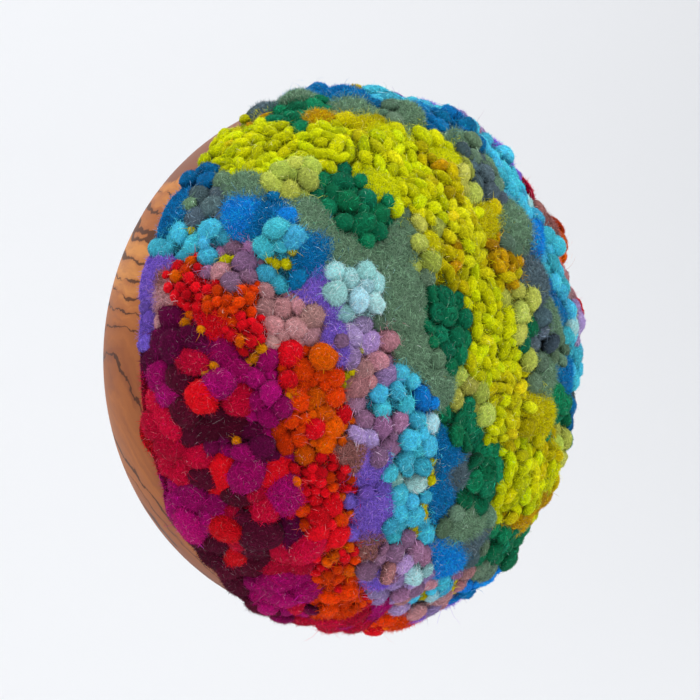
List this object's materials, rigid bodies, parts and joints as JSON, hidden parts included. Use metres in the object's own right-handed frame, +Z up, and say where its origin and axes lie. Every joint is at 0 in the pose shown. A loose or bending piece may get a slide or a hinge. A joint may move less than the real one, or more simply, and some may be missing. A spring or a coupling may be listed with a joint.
{
  "type": "punch needle wall piece in a wooden bowl",
  "caption": "Round domed mound of punch needle wool tufts set in a small turned olive wood bowl that hangs on a wall by its foot.",
  "frame": {"origin": "middle of the bowl's flat foot, where it lies against the wall", "axes": "+Z up, +X to the right seen from the front, +Y out of the foot into the wall, so the wool faces -Y"},
  "size_m": [0.0944, 0.0578, 0.0946],
  "materials": {
    "olive_wood": "oiled olive wood, satin, with dark brown veins",
    "wool_tufts": "felted wool loops, knots and sheared pile in many colours"
  },
  "bodies": {
    "root": {"wood_bowl": "olive_wood", "punch_needle_dome": "wool_tufts"}
  },
  "joints": []
}
